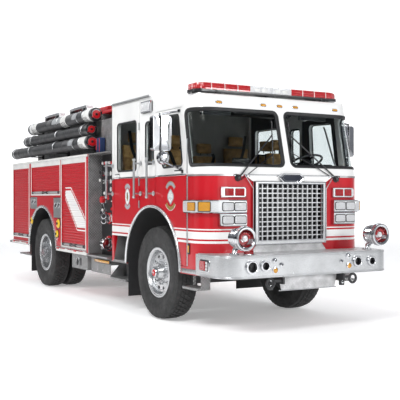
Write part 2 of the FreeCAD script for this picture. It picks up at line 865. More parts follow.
def cab_upper_solid(inset):
    """The cab above the belt: leaning nose, low front roof and raised rear roof."""
    high = raised_roof + roof_shoulder
    block = Part.makeLoft([cab_plan(inset, cab_front, cab_belt), cab_plan(inset, nose_at(high), high)], True, True)
    y = cab_half - inset
    back = cab_rear - 10
    run = cab_front - back + 20
    low_top = front_roof - inset
    round_over = roof_shoulder - inset / 2
    profile = rounded_prism([V(back, -cab_half - 10, cab_belt), V(cab_front - inset, -cab_half - 10, cab_belt),
                             V(nose_at(low_top) - inset, -cab_half - 10, low_top), V(back, -cab_half - 10, low_top)],
                            [0, 0, round_over, 0], V(0, 2 * cab_half + 20, 0))
    section = roof_section(y, low_top, round_over, back, run)
    low = block.common(profile).common(section)
    top = raised_roof - inset
    lip = raised_edge - inset * (math.hypot(1, raised_slope) - raised_slope)
    foot = lip + (top - cab_belt) * raised_slope
    facet = side_prism([(back, cab_belt), (foot, cab_belt), (lip, top), (back, top)], -cab_half - 10, cab_half + 10)
    raised = roof_section(y, top, raised_shoulder - inset / 2, back, run)
    return low.fuse(block.common(facet).common(raised)).removeSplitter()


def roof_section(half, top, shoulder, back, run):
    corners = [V(back, -half, cab_belt - 1), V(back, half, cab_belt - 1), V(back, half, top), V(back, -half, top)]
    return rounded_prism(corners, [0, 0, shoulder, shoulder], V(run, 0, 0))


def arch_cylinder(x, z, radius, y0, y1):
    return rod(V(x, y0, z), V(x, y1, z), radius)


def front_arch(radius, y0, y1):
    return arch_cylinder(front_arch_x, front_arch_z, radius, y0, y1)


def arch_arc(radius, first, last, y):
    """Arc of a wheel arch between two of its points given as (x, z)."""
    a0 = math.atan2(first[1] - front_arch_z, first[0] - front_arch_x)
    a1 = math.atan2(last[1] - front_arch_z, last[0] - front_arch_x)
    am = (a0 + a1) / 2
    middle = V(front_arch_x + radius * math.cos(am), y, front_arch_z + radius * math.sin(am))
    return Part.Arc(V(first[0], y, first[1]), middle, V(last[0], y, last[1])).toShape()


def front_door_prism(grow, y0, y1):
    radius = arch_radius + door_arch_gap - door_arch_ease * grow
    x0 = front_door_rear - grow
    x1 = front_door_front + grow
    low = front_door_bottom - grow
    high = front_door_top + grow
    first = (x0, front_arch_z + math.sqrt(radius ** 2 - (x0 - front_arch_x) ** 2))
    last = (front_arch_x + math.sqrt(radius ** 2 - (low - front_arch_z) ** 2), low)
    corners = [first, (x0, high), (x1 - door_lean * (high - cab_belt), high), (x1, cab_belt), (x1, low), last]
    return arch_cut_prism(corners, radius, y0, y1)


def crew_door_prism(grow, y0, y1):
    radius = arch_radius + door_arch_gap - grow
    x0 = crew_door_rear - grow
    x1 = crew_door_front + grow
    low = crew_door_bottom - grow
    high = crew_door_top + grow
    first = (front_arch_x - math.sqrt(radius ** 2 - (low - front_arch_z) ** 2), low)
    last = (x1, front_arch_z + math.sqrt(radius ** 2 - (x1 - front_arch_x) ** 2))
    return arch_cut_prism([first, (x0, low), (x0, high), (x1, high), last], radius, y0, y1)


def arch_cut_prism(corners, radius, y0, y1):
    """A door outline whose last side follows the wheel arch back to the first corner."""
    points = [V(x, y0, z) for x, z in corners]
    edges = [Part.LineSegment(a, b).toShape() for a, b in zip(points, points[1:])]
    edges.append(arch_arc(radius, corners[-1], corners[0], y0))
    return Part.Face(Part.Wire(edges)).extrude(V(0, y1 - y0, 0))


def screen_tool(grow):
    """Opening of the left windscreen pane: it wraps round the corner to a leaning rear edge."""
    inner = screen_post - grow
    outer = cab_half + 60
    corners = [V(cab_rear, inner, screen_bottom - grow), V(cab_rear, outer, screen_bottom - grow),
               V(cab_rear, outer, screen_top + grow), V(cab_rear, inner, screen_top + grow)]
    radius = screen_corner + grow
    front = rounded_prism(corners, [radius, 0, 0, radius], V(cab_front - cab_rear + 50, 0, 0))
    low = screen_rear_low - grow
    high = low - screen_rear_lean * (screen_top - screen_bottom)
    far = cab_front + 300
    side = [V(low + screen_rear_lean * grow, 0, screen_bottom - grow), V(far, 0, screen_bottom - grow),
            V(far, 0, screen_top + grow), V(high - screen_rear_lean * grow, 0, screen_top + grow)]
    return front.common(rounded_prism(side, [radius, 0, 0, radius], V(0, outer, 0)))


def window_rectangle(table, grow):
    rear, front, bottom, top = table
    return rectangle(rear - grow, front + grow, bottom - grow, top + grow)


def cab_doors_opening():
    y0 = cab_half - cab_wall - 30
    y1 = cab_half + 10
    return [front_door_prism(door_gap, y0, y1), crew_door_prism(door_gap, y0, y1)]


def cab_upper():
    shell = cab_upper_solid(0).cut(cab_upper_solid(cab_wall))
    pane = window_rectangle(pillar_window, 0)
    inner = cab_half - cab_wall - 30
    cuts = cab_doors_opening() + [screen_tool(0), rounded_window(pane, window_corner, inner, cab_half + 10)]
    shell = shell.cut(compound(cuts)).cut(compound([mirrored(c) for c in cuts]))
    side = cab_half + 50
    return shell.common(box(cab_rear - 50, cab_front + 50, -side, side, cab_belt, raised_roof + 50))


def floor_opening():
    end = cab_front - cab_wall
    cuts = [box(tunnel_rear, tunnel_front, -tunnel_half, tunnel_half, cab_sill, tunnel_top),
            box(tunnel_front - 1, end, -nose_box_half, nose_box_half, cab_sill, nose_box_top)]
    for shape in (front_arch(arch_radius, tunnel_half, cab_half + 10),
                  box(crew_door_rear, front_arch_x, cab_half - crew_well_depth, cab_half, cab_sill, cab_floor),
                  box(front_arch_x, end, cab_half - front_well_depth, cab_half, cab_sill, cab_floor)):
        cuts += both(shape)
    return compound(cuts)


def crew_well_mouth():
    """The step well's mouth in the cab side, below the crew door."""
    low = cab_sill + step_plate
    mouth = box(crew_door_rear - door_gap, front_arch_x, cab_half - cab_wall - 30, cab_half + 10, low,
                crew_door_bottom)
    return mouth.cut(front_arch(arch_radius + door_arch_gap - door_gap, 0, cab_half + 20))


def cab_lower():
    shell = cab_lower_solid(0, cab_sill, cab_belt).cut(cab_lower_solid(cab_wall, cab_sill, cab_belt))
    arch = front_arch(arch_radius, cab_half - cab_wall - 30, cab_half + 10)
    cuts = cab_doors_opening() + [arch, crew_well_mouth()]
    shell = shell.cut(compound(cuts)).cut(compound([mirrored(c) for c in cuts]))
    half = grille_half - 4
    inner = cab_front - cab_wall - 30
    shell = shell.cut(box(inner, cab_front + 10, -half, half, grille_bottom + 4, grille_top - 4))
    low = rail_outer + cab_clear
    shell = shell.cut(box(inner, cab_front + 10, -low, low, cab_sill - 1, rail_step_top + cab_clear))
    high = rail_bottom + rail_height + cab_clear
    shell = shell.cut(box(cab_rear - 10, cab_rear + cab_wall + 1, -low, low, cab_sill - 1, high))
    floor = cab_lower_solid(cab_wall, cab_floor - floor_thick, cab_floor).cut(floor_opening())
    return fuse([shell, floor])


def band(solid_at, inner, outer, region):
    """The part of a skin between two offsets outside the cab that lies in a region."""
    return solid_at(-outer).cut(solid_at(-inner)).common(region)


def lower_band(inner, outer, z0, z1, region):
    return band(lambda inset: cab_lower_solid(inset, z0, z1), inner, outer, region)


def glass_pane(solid_at, tool):
    pane = solid_at(glass_inset).cut(solid_at(glass_inset + glass_thick)).common(tool)
    return pane


def flat_pane(outline, radius):
    y1 = cab_half - glass_inset
    return rounded_window(outline, radius, y1 - glass_thick, y1)


def shrunk(outline, grow):
    middle_x = sum(x for x, z in outline) / len(outline)
    middle_z = sum(z for x, z in outline) / len(outline)
    return [(x - math.copysign(grow, x - middle_x), z - math.copysign(grow, z - middle_z))
            for x, z in outline]


keep("cab_lower", cab_lower())
keep("cab_upper", cab_upper())
fixed_glass = [glass_pane(cab_upper_solid, screen_tool(-glass_gap)),
               flat_pane(window_rectangle(pillar_window, -glass_gap), window_corner)]
keep("cab_glass", compound(fixed_glass + [mirrored(g) for g in fixed_glass]))


# ---- doors ------------------------------------------------------------------------------
def hinge(front_edge, low, high):
    """A door's hinge: a leaf on the skin and a barrel on the hinge axis."""
    x = front_edge + door_gap / 2
    y = cab_half + hinge_out
    leaf = box(front_edge - 24, x, cab_half, cab_half + hinge_out - hinge_radius + 3, low, high)
    return fuse([leaf, rod(V(x, y, low), V(x, y, high), hinge_radius)])


def handle(x0, x1, z):
    """A pull handle on two posts."""
    grip = box(x0, x1, cab_half + 22, cab_half + 34, z - 13, z + 13)
    posts = [box(x, x + 16, cab_half, cab_half + 24, z - 9, z + 9) for x in (x0 + 8, x1 - 24)]
    return fuse([grip] + posts)


def front_door():
    y0 = cab_half - door_thick
    door = front_door_prism(0, y0, cab_half)
    door = door.cut(front_arch(arch_radius + door_arch_gap + door_rebate, y0 - 1, cab_half - door_skin))
    door = door.cut(rounded_window(front_window, window_corner, y0 - 5, cab_half + 5))
    return fuse([door, hinge(front_door_front, front_door_bottom + 20, cab_belt - 10),
                 handle(front_door_front - 260, front_door_front - 90, cab_belt + 30)])


def crew_door():
    y0 = cab_half - door_thick
    door = crew_door_prism(0, y0, cab_half)
    door = door.cut(rounded_window(window_rectangle(crew_window, 0), window_corner, y0 - 5, cab_half + 5))
    low = front_arch_z + arch_radius
    return fuse([door, hinge(crew_door_front, low, crew_door_top - 40),
                 handle(crew_door_rear + 60, crew_door_rear + 230, cab_belt + 30)])


def mirror():
    """Two arms, an upright tube, a chrome head and a small round mirror below it."""
    foot = V(mirror_x, mirror_y, mirror_low)
    head = V(mirror_x, mirror_y, mirror_high)
    tube_piece = rod(foot, head, mirror_tube)
    anchor_x = front_door_front - door_lean * (mirror_high - cab_belt) - 70
    arms = [rod(V(anchor_x, cab_half, mirror_high + 40), head - V(0, 0, mirror_tube), mirror_tube),
            rod(V(anchor_x + 40, cab_half, mirror_low - 90), foot + V(0, 0, mirror_tube), mirror_tube)]
    pads = [box(anchor_x - 30, anchor_x + 30, cab_half, cab_half + 10, mirror_high + 25, mirror_high + 60),
            box(anchor_x + 10, anchor_x + 70, cab_half, cab_half + 10, mirror_low - 110, mirror_low - 70)]
    left = mirror_middle - mirror_width / 2
    back = mirror_x - mirror_tube
    end = back - mirror_depth
    right = left + mirror_width
    shell = rounded_prism([V(end, left, mirror_bottom), V(end, right, mirror_bottom),
                           V(end, right, mirror_top), V(end, left, mirror_top)],
                          [mirror_round / 2] * 4, V(mirror_depth + 4, 0, 0))
    low_z = mirror_bottom - mirror_round - 12
    low_y = mirror_middle - 25
    bowl = rod(V(back - 50, low_y, low_z), V(back + 4, low_y, low_z), mirror_round)
    whole = fuse([tube_piece, shell, bowl] + arms + pads)
    inside = cab_half
    return whole.common(box(0, cab_front + 500, inside, 2 * cab_half, 0, 2 * raised_roof))


keep("front_door_left", front_door())
keep("crew_door_left", crew_door())
keep("front_door_glass_left", flat_pane(shrunk(front_window, glass_gap), window_corner))
keep("crew_door_glass_left", flat_pane(window_rectangle(crew_window, -glass_gap), window_corner))
keep("mirror_left", mirror())
for piece in ("front_door", "crew_door", "front_door_glass", "crew_door_glass", "mirror"):
    keep(piece + "_right", mirrored(pieces[piece + "_left"]))


# ---- inside the cab -----------------------------------------------------------------------
def cab_interior():
    """Engine cover between the seats, radiator box in the nose, dashboard and steering wheel."""
    cover = box(tunnel_rear, tunnel_front, -tunnel_half, tunnel_half, cab_floor - floor_thick, tunnel_top)
    cover = cover.cut(box(tunnel_rear + tunnel_wall, tunnel_front + 1, -tunnel_half + tunnel_wall,
                          tunnel_half - tunnel_wall, 0, tunnel_top - tunnel_wall))
    end = cab_front - cab_wall
    nose = box(tunnel_front, end, -nose_box_half, nose_box_half, cab_floor - floor_thick, nose_box_top)
    nose = nose.cut(box(tunnel_front + tunnel_wall, end + 1, -nose_box_half + tunnel_wall,
                        nose_box_half - tunnel_wall, 0, nose_box_top - tunnel_wall))
    passage = box(tunnel_front - 1, tunnel_front + tunnel_wall + 1, -tunnel_half + tunnel_wall,
                  tunnel_half - tunnel_wall, 0, tunnel_top - tunnel_wall)
    half = cab_half - cab_wall - 25
    start = end - dash_depth
    dash = side_prism([(start, nose_box_top), (end - 12, nose_box_top), (end - 12, cab_belt + 40),
                       (end - 70, dash_top), (start + 60, dash_top), (start, dash_top - 60)], -half, half)
    knees = box(end - knee_depth, end - 12, -half, half, knee_bottom, nose_box_top)
    knees = knees.cut(box(0, end, -nose_box_half, nose_box_half, 0, nose_box_top))
    dash = fuse([dash, knees]).common(cab_inside())
    hub = V(steering_x, steering_y, steering_z)
    tilt = V(0.42, 0, -1).normalize()
    ring = Part.makeTorus(steering_ring, steering_tube, hub, tilt)
    column = rod(hub + tilt * 20, hub + tilt * 330, 30)
    boss = rod(hub - tilt * 12, hub + tilt * 24, steering_boss)
    side = V(0, 1, 0)
    up = tilt.cross(side)
    spokes = [rod(hub, hub + (side * math.cos(a) + up * math.sin(a)) * steering_ring, 11)
              for a in (math.radians(-25), math.radians(90), math.radians(205))]
    wheel = fuse([ring, column, boss] + spokes)
    reach = box(start - 150, start + 30, steering_y - 60, steering_y + 60, nose_box_top + 10, dash_top - 120)
    return compound([fuse([cover, nose.cut(passage), dash, reach, wheel])] + seat_bases())


def cab_inside():
    """The free space inside the cab shell, for trimming what stands against its walls."""
    gap = bead_gap
    low = cab_lower_solid(cab_wall + gap, cab_sill, cab_belt)
    return low.fuse(cab_upper_solid(cab_wall + gap))


# seats: middle's x, y, height of the cushion's underside, facing (+1 forwards, -1 rearwards)
seat_table = ((260.0, 830.0, 1560.0, 1),
              (-640.0, 840.0, 1560.0, -1),
              (-920.0, 275.0, 1560.0, 1))


def seat(x, y, z, facing):
    """A pedestal, cushion, back and headrest, facing forwards or rearwards."""
    near = -facing * seat_depth / 2
    half = seat_width / 2
    cushion = box(-seat_depth / 2, seat_depth / 2, -half, half, z, z + seat_thick)
    back_x = sorted((near, near - facing * seat_back_thick))
    back = box(back_x[0], back_x[1], -half, half, z - 20, z + seat_back)
    head = box(back_x[0] + 15, back_x[1] - 5, -half + 110, half - 110, z + seat_back, z + seat_back + seat_head)
    shape = fuse([cushion, back, head])
    return shape.translated(V(x, y, 0))


def seats():
    shapes = []
    for x, y, z, facing in seat_table:
        shapes += both(seat(x, y, z, facing))
    return compound(shapes)


def seat_bases():
    """Boxes that carry the seats: on the wheel housings, on the floor and on the engine cover."""
    shapes = []
    for x, y, z, facing in seat_table:
        inner = y - pedestal_half
        low = cab_floor
        if y < tunnel_half:
            low = tunnel_top
        else:
            inner = max(inner, tunnel_half)
        base = box(x - pedestal_half, x + pedestal_half, inner, y + pedestal_half, low, z)
        shapes += both(base.cut(front_arch(arch_radius, 0, cab_half)))
    return shapes


keep("cab_interior", cab_interior())
keep("seats", seats())


# ---- wheel housings, mud flaps and chrome arches -------------------------------------------
def half_ring(x, z, outer, inner, y0, y1, low):
    ring = arch_cylinder(x, z, outer, y0, y1).cut(arch_cylinder(x, z, inner, y0 - 1, y1 + 1))
    return ring.common(box(x - 2 * outer, x + 2 * outer, y0 - 5, y1 + 5, low, z + 2 * outer))


def wheel_guards():
    front = half_ring(front_arch_x, front_arch_z, arch_radius - liner_gap, arch_radius - liner_thick, tunnel_half,
                      cab_half, cab_sill + 10)
    rear = half_ring(rear_arch_x, rear_arch_z, rear_arch_radius - liner_gap, rear_arch_radius - liner_thick, body_inner,
                     body_half, body_low)
    x = front_arch_x - arch_radius + liner_thick
    front_flap = box(x, x + flap_thick, liner_inner + 130, cab_half - 25, flap_low, cab_sill + 100)
    x = rear_arch_x - rear_arch_radius + liner_thick + 4
    rear_flap = box(x, x + flap_thick, body_inner + 10, body_half - 30, flap_low, body_low + 60)
    return compound(both(fuse([front, front_flap])) + both(fuse([rear, rear_flap])))


def arch_trims():
    inner = arch_radius - liner_thick
    front = half_ring(front_arch_x, front_arch_z, inner + trim_width, inner, cab_half, cab_half + trim_proud,
                      cab_sill + 10)
    inner = rear_arch_radius - liner_thick
    rear = half_ring(rear_arch_x, rear_arch_z, inner + 1.6 * trim_width, inner, body_half, body_half + 2.4 * trim_proud,
                     body_low)
    return both(front) + both(rear)


keep("wheel_guards", wheel_guards())


# ---- steps ----------------------------------------------------------------------------------
def cab_steps():
    """Step wells inside the cab sides and the steps that hang below them, left side."""
    y1 = cab_half
    clear = front_arch(arch_radius + 0.3, 0, cab_half + 20)
    y0 = cab_half - crew_well_depth
    low = cab_sill + step_plate
    rear = crew_door_rear
    top = cab_floor - floor_thick
    well = fuse([box(rear - door_gap, front_arch_x, y0, y1 - cab_wall, cab_sill, low),
                 box(rear - door_gap, front_arch_x, y0, y0 + skin, low, top),
                 box(rear - door_gap - skin, rear - door_gap, y0, y1 - cab_wall, cab_sill, top)]).cut(clear)
    y0 = cab_half - front_well_depth
    high = front_door_bottom - door_gap
    end = cab_front - cab_wall
    toe = fuse([box(front_arch_x, end, y0, y1, high - step_plate, high),
                box(front_arch_x, end, y0, y0 + skin, high - step_plate, top)]).cut(clear)
    toe = toe.common(cab_lower_solid(cab_wall, cab_sill, cab_belt))
    hang = crew_step_z
    box_y = cab_half - crew_step_drop
    crew = [box(crew_step_x0, crew_step_x1, box_y, y1, hang, hang + step_plate),
            box(crew_step_x0, crew_step_x1, box_y, box_y + skin, hang, cab_sill)]
    for x in (crew_step_x0, crew_step_x1 - skin):
        crew.append(prism([V(x, box_y, hang), V(x, y1, hang), V(x, y1, hang + step_plate), V(x, box_y + 60, cab_sill),
                           V(x, box_y, cab_sill)], V(skin, 0, 0)))
    crew.append(box(crew_step_x0, crew_step_x1, box_y, y1, cab_sill - skin, cab_sill))
    x1 = front_step_x1
    front = [box(front_step_x0, x1, y1 - 190, y1, front_step_z - step_plate, front_step_z),
             box(x1 - skin, x1, y1 - 190, y1 - 60, front_step_z - step_plate, cab_sill),
             box(front_step_x0, front_step_x0 + skin, y1 - 190, y1 - 150, front_step_z - step_plate, cab_sill),
             box(front_step_x0, x1, y1 - 190, y1 - 60, cab_sill - skin, cab_sill)]
    return [well, toe, fuse(crew), fuse(front)]


def body_steps():
    """Running board beside the pump, its skirt, the box below the body and the rear step, left side."""
    front = pump_front
    under = board_top - board_thick
    face = body_half - skirt_inset
    board = box(body_front, front, pump_half, body_half, under, board_top)
    skirt = box(body_front, front, face, face + skin, board_top - board_skirt, under)
    brace = [box(x, x + skin, pump_half - brace_length, face, under - brace_height, under)
             for x in (body_front + 5, front - 10)]
    outer = body_half - hang_inset
    pod = box(under_box_x[0], under_box_x[1], outer - under_box_depth, outer, under_box_low, body_low)
    x, z, radius = under_hole
    pod = pod.cut(rod(V(x, outer - under_hole_depth, z), V(x, body_half, z), radius))
    low = rear_step_z
    inner = outer - rear_step_depth
    rear = box(rear_step_x[0], rear_step_x[1], inner, outer, low, low + step_plate)
    posts = [box(x, x + rear_step_post, inner, inner + rear_step_web, low, body_low)
             for x in (rear_step_x[0] + rear_step_ends[0], rear_step_x[1] - rear_step_ends[1])]
    return [fuse([board, skirt] + brace), pod, fuse([rear] + posts)]


def tailboard():
    corners = [V(tail_rear, -body_half, rub_low), V(body_rear, -body_half, rub_low), V(body_rear, body_half, rub_low),
               V(tail_rear, body_half, rub_low)]
    plate = rounded_prism(corners, [tail_corner, 0, 0, tail_corner], V(0, 0, rub_high - rub_low))
    inner = tail_bracket_y - tail_bracket_half
    outer = tail_bracket_y + tail_bracket_half
    low = rub_low - tail_bracket_drop
    hold = box(body_rear, rail_rear + tail_bracket_lap[0], inner, outer, low, rub_low + 16)
    carry = box(body_rear - tail_bracket_lap[1], body_rear, inner, outer, low, rub_low)
    return fuse([plate] + both(hold) + both(carry))


steps = []
for piece in cab_steps() + body_steps():
    steps += both(piece)
keep("steps", compound(steps + [tailboard()]))


# ---- nose -------------------------------------------------------------------------------
def grille():
    """A bright frame round a mesh of upright and level bars, with the panel above it."""
    x0 = cab_front
    x1 = cab_front + grille_proud
    frame = box(x0, x1, -grille_half - grille_border, grille_half + grille_border,
                grille_bottom - grille_border, grille_top + grille_border / 2)
    inner = grille_half - 2
    frame = frame.cut(box(x0 - 1, x1 + 1, -inner, inner, grille_bottom, grille_top - 8))
    bars = []
    pitch = 2 * inner / grille_columns
    for i in range(1, grille_columns):
        y = -inner + pitch * i
        bars.append(box(x0, x0 + 22, y - grille_bar / 2, y + grille_bar / 2, grille_bottom - 4, grille_top - 4))
    pitch = (grille_top - 8 - grille_bottom) / grille_rows
    for i in range(1, grille_rows):
        z = grille_bottom + pitch * i
        bars.append(box(x0, x0 + 16, -inner - 2, inner + 2, z - grille_bar / 2, z + grille_bar / 2))
    low = grille_top + grille_border / 2
    high = hood_panel_top
    panel = prism([V(x0, -hood_panel_low, low), V(x0, hood_panel_low, low), V(x0, hood_panel_high, high),
                   V(x0, -hood_panel_high, high)], V(hood_panel_thick, 0, 0))
    hexagon = [V(x0, badge_half * c, badge_z + badge_height / 2 * d)
               for c, d in ((-1, 0), (-0.7, 1), (0.7, 1), (1, 0), (0.7, -1), (-0.7, -1))]
    badge = prism(hexagon, V(grille_proud + 8, 0, 0))
    return fuse([frame, panel, badge] + bars)


def lamp_region(rear, outer, zone, border):
    """The space a lamp takes: from its inner edge round to an outer limit or to the side."""
    z0, z1 = zone
    return box(rear + border, cab_front + 200, lamp_inner + border, outer - border, z0 + border, z1 - border)


def lamp(outward, zone, region, lens_region):
    """Housing proud of the cab skin and the lens let into its face."""
    z0, z1 = zone
    shell = lower_band(0, outward, z0, z1, region)
    lens = lower_band(outward - lens_seat, outward + lens_proud, z0, z1, lens_region)
    return shell.cut(lens), lens


housings = []
clear = []
red = []
amber = []
wrap = cab_half + 200
high_lens = box(head_split_x, cab_front + 200, lamp_inner + lens_border, wrap, head_high[0] + lens_border,
                head_high[1] - lens_border)
corner_lens = box(turn_rear + lens_border, head_split_x - lens_border, lamp_inner, wrap, head_high[0] + lens_border,
                  head_high[1] - lens_border)
high_shell, high_clear = lamp(lamp_proud, head_high, lamp_region(turn_rear, wrap, head_high, 0), high_lens)
corner = lower_band(lamp_proud - lens_seat, lamp_proud + lens_proud, head_high[0], head_high[1], corner_lens)
low_shell, low_clear = lamp(lamp_proud, head_low, lamp_region(turn_rear, head_low_outer, head_low, 0),
                            lamp_region(turn_rear, head_low_outer, head_low, lens_border))
red_shell, red_lens = lamp(red_lamp_proud, red_lamp_z, lamp_region(turn_rear, red_lamp_outer, red_lamp_z, 0),
                           lamp_region(turn_rear, red_lamp_outer, red_lamp_z, lens_border))
rear, front, bottom, top = scene_lamp
scene_box = box(rear, front, cab_half, cab_half + scene_lamp_proud, bottom, top)
scene_glass = box(rear + lens_border, front - lens_border, cab_half + scene_lamp_proud - lens_seat,
                  cab_half + scene_lamp_proud + lens_proud / 2, bottom + lens_border, top - lens_border)
side_marker = box(side_marker_x - side_marker_half, side_marker_x + side_marker_half, cab_half,
                  cab_half + marker_height / 2, side_marker_z - side_marker_height / 2,
                  side_marker_z + side_marker_height / 2)
for shape in (high_shell.cut(corner), low_shell, red_shell, scene_box.cut(scene_glass)):
    housings += both(shape)
for shape in (high_clear, low_clear, scene_glass):
    clear += both(shape)
red += both(red_lens)
amber += both(corner) + both(side_marker)
for y in marker_places:
    zone = box(0, cab_front, y - marker_x_half, y + marker_x_half, marker_z - marker_height / 2,
               marker_z + marker_height / 2)
    amber.append(band(cab_upper_solid, 0, marker_height / 2, zone))


def lightbar():
    """Base with two feet on the roof."""
    x0 = lightbar_x - lightbar_depth / 2
    x1 = lightbar_x + lightbar_depth / 2
    base = bar_block(lightbar_half, lightbar_base, lightbar_low)
    feet = [box(x0 + 60, x1 - 60, s * lightbar_foot - 60, s * lightbar_foot + 60, front_roof, lightbar_base)
            for s in (-1, 1)]
    return fuse([base] + feet)


def bar_block(half, low, high):
    x0 = lightbar_x - lightbar_depth / 2
    x1 = lightbar_x + lightbar_depth / 2
    corners = [V(x0, -half, low), V(x1, -half, low), V(x1, half, low), V(x0, half, low)]
    return rounded_prism(corners, [lightbar_corner] * 4, V(0, 0, high - low))


domes = bar_block(lightbar_half - 12, lightbar_low, lightbar_top)
middle = box(lightbar_x - lightbar_depth, lightbar_x + lightbar_depth, -lightbar_clear, lightbar_clear,
             lightbar_low, lightbar_top)
clear.append(domes.common(middle))
for s in (-1, 1):
    zone = box(lightbar_x - lightbar_depth, lightbar_x + lightbar_depth, min(s * lightbar_clear, s * lightbar_half),
               max(s * lightbar_clear, s * lightbar_half), lightbar_low, lightbar_top)
    red.append(domes.common(zone))


def wipers():
    """Both wipers: a boss low on the nose, an arm and a blade that lies on the windscreen."""
    parts = []
    for pivot, high, low in wiper_table:
        root = V(cab_front, pivot, wiper_z)
        blade = [on_screen(high), on_screen(low)]
        knee = blade[0] + (blade[1] - blade[0]) * wiper_hold
        parts.append(fuse([rod(root, root + V(wiper_proud + wiper_rod, 0, 0), 2 * wiper_rod),
                           rod(root + V(wiper_proud, 0, 0), knee, wiper_rod), rod(blade[0], blade[1], wiper_rod * 0.8)]))
    return compound(parts)


def on_screen(place):
    y, z = place
    return V(nose_at(z) + blade_proud, y, z)


keep("grille", grille())
housings.append(lightbar())
keep("wipers", wipers())


# ---- bumper -----------------------------------------------------------------------------
def bumper_plan(inset, low, high, rear):
    half = bumper_half - inset
    front = bumper_front - inset
    corner = bumper_corner - inset
    points = [V(rear, -half, low), V(front, -half, low), V(front, half, low), V(rear, half, low)]
    return rounded_prism(points, [0, corner, corner, 0], V(0, 0, high - low))


# fittings through the bumper's face: side (-1 right, +1 left, 0 both), y, z, radius
horn_table = ((-879.0, 808.0, 78.0), (-699.0, 816.0, 63.0), (653.0, 818.0, 65.0), (878.0, 814.0, 60.0))
stud_table = ((-568.0, 871.0, 25.0), (-471.0, 819.0, 22.0), (408.0, 823.0, 20.0), (508.0, 885.0, 30.0))
turn_table = ((-558.0, 759.0), (527.0, 768.0))


def bumper():
    whole = bumper_plan(0, bumper_low, bumper_high, bumper_rear)
    inside = bumper_plan(bumper_skin, bumper_low + bumper_skin, bumper_high - bumper_skin, bumper_rear - 10)
    mouth = bumper_plan(bumper_flange, bumper_low - 1, bumper_high + 1, bumper_rear - 10)
    cab = cab_lower_solid(-cab_clear, bumper_low - 1, bumper_high + 1)
    holes = [rod(V(bumper_front - 100, y, z), V(bumper_front + 10, y, z), r - horn_rim) for y, z, r in horn_table]
    return whole.cut(compound([inside])).cut(mouth).cut(cab).cut(compound(holes))


def treadplate():
    """Tread plate: deck over the bumper, apron below it and the ramp under the grille."""
    deck = bumper_plan(deck_border, bumper_high, bumper_high + deck_thick, bumper_rear)
    deck = deck.cut(cab_lower_solid(-cab_clear, bumper_high - 1, bumper_high + 10))
    apron = prism([V(apron_x, -rail_outer, bumper_low), V(apron_x, rail_outer, bumper_low),
                   V(apron_x, rail_outer - 40, apron_low), V(apron_x, -rail_outer + 40, apron_low)],
                  V(deck_thick, 0, 0))
    top = grille_bottom - grille_border
    foot = bumper_high + deck_thick
    ramp = prism([V(cab_front, -ramp_low, foot), V(cab_front, ramp_low, foot),
                  V(cab_front, grille_half, top), V(cab_front, -grille_half, top)], V(cab_clear + 4, 0, 0))
    return compound([fuse([deck, ramp]), apron])


def beacon():
    """A bright drum with a thick ring in front, standing on a bent stem, left side."""
    rear = V(beacon_front - beacon_length, beacon_y, beacon_z)
    drum = rod(rear, V(beacon_front - 30, beacon_y, beacon_z), beacon_body)
    back = rod(rear - V(34, 0, 0), rear,
               beacon_body * 0.6)
    ring = rod(V(beacon_front - 48, beacon_y, beacon_z), V(beacon_front, beacon_y, beacon_z), beacon_radius)
    bowl = rod(V(beacon_front - beacon_bowl, beacon_y, beacon_z), V(beacon_front + 1, beacon_y, beacon_z),
               beacon_body - 8)
    base = V(beacon_base_x, beacon_y, bumper_high + deck_thick)
    knee = V(beacon_base_x + 10, beacon_y, bumper_high + 70)
    neck = V(beacon_front - beacon_length + 50, beacon_y, beacon_z - beacon_body + 12)
    stem = [rod(base, base + V(0, 0, 14), 2.2 * beacon_stem), rod(base + V(0, 0, 6), knee, beacon_stem),
            rod(knee, neck, beacon_stem)]
    stem.append(Part.makeSphere(beacon_stem, knee))
    return fuse([drum, back, ring] + stem).cut(bowl)


def horn(y, z, r):
    mouth = bumper_front
    back = mouth - horn_depth
    inner = r - horn_rim - bead_gap
    pipe = tube(V(back, y, z), V(mouth + horn_proud, y, z), inner, inner - horn_rim)
    cap = rod(V(back, y, z), V(back + horn_rim, y, z), inner)
    rim_ring = tube(V(mouth, y, z), V(mouth + horn_proud, y, z), r, inner - horn_rim)
    return fuse([pipe, cap, rim_ring])


fittings = both(beacon())
for y, z, r in horn_table:
    fittings.append(horn(y, z, r))
for y, z, r in stud_table:
    fittings.append(rod(V(bumper_front, y, z), V(bumper_front + stud_proud, y, z), r))
for y, z in turn_table:
    amber.append(box(bumper_front, bumper_front + stud_proud, y - 30, y + 30, z - 26, z + 26))
bulb = rod(V(beacon_front - beacon_bowl, beacon_y, beacon_z), V(beacon_front - 22, beacon_y, beacon_z), beacon_bulb)
red += both(bulb)
side_lamp = box(side_lamp_x[0], side_lamp_x[1], bumper_half, bumper_half + red_lamp_proud - lens_proud, side_lamp_z[0],
                side_lamp_z[1])
red += both(side_lamp)
deck_lamp = box(deck_lamp_x - 25, deck_lamp_x + 25, -deck_lamp_y[1], -deck_lamp_y[0], bumper_high + deck_thick,
                bumper_high + deck_thick + 52)
red.append(deck_lamp)
keep("bumper", bumper())
keep("bumper_treadplate", treadplate())
keep("bumper_fittings", compound(fittings))


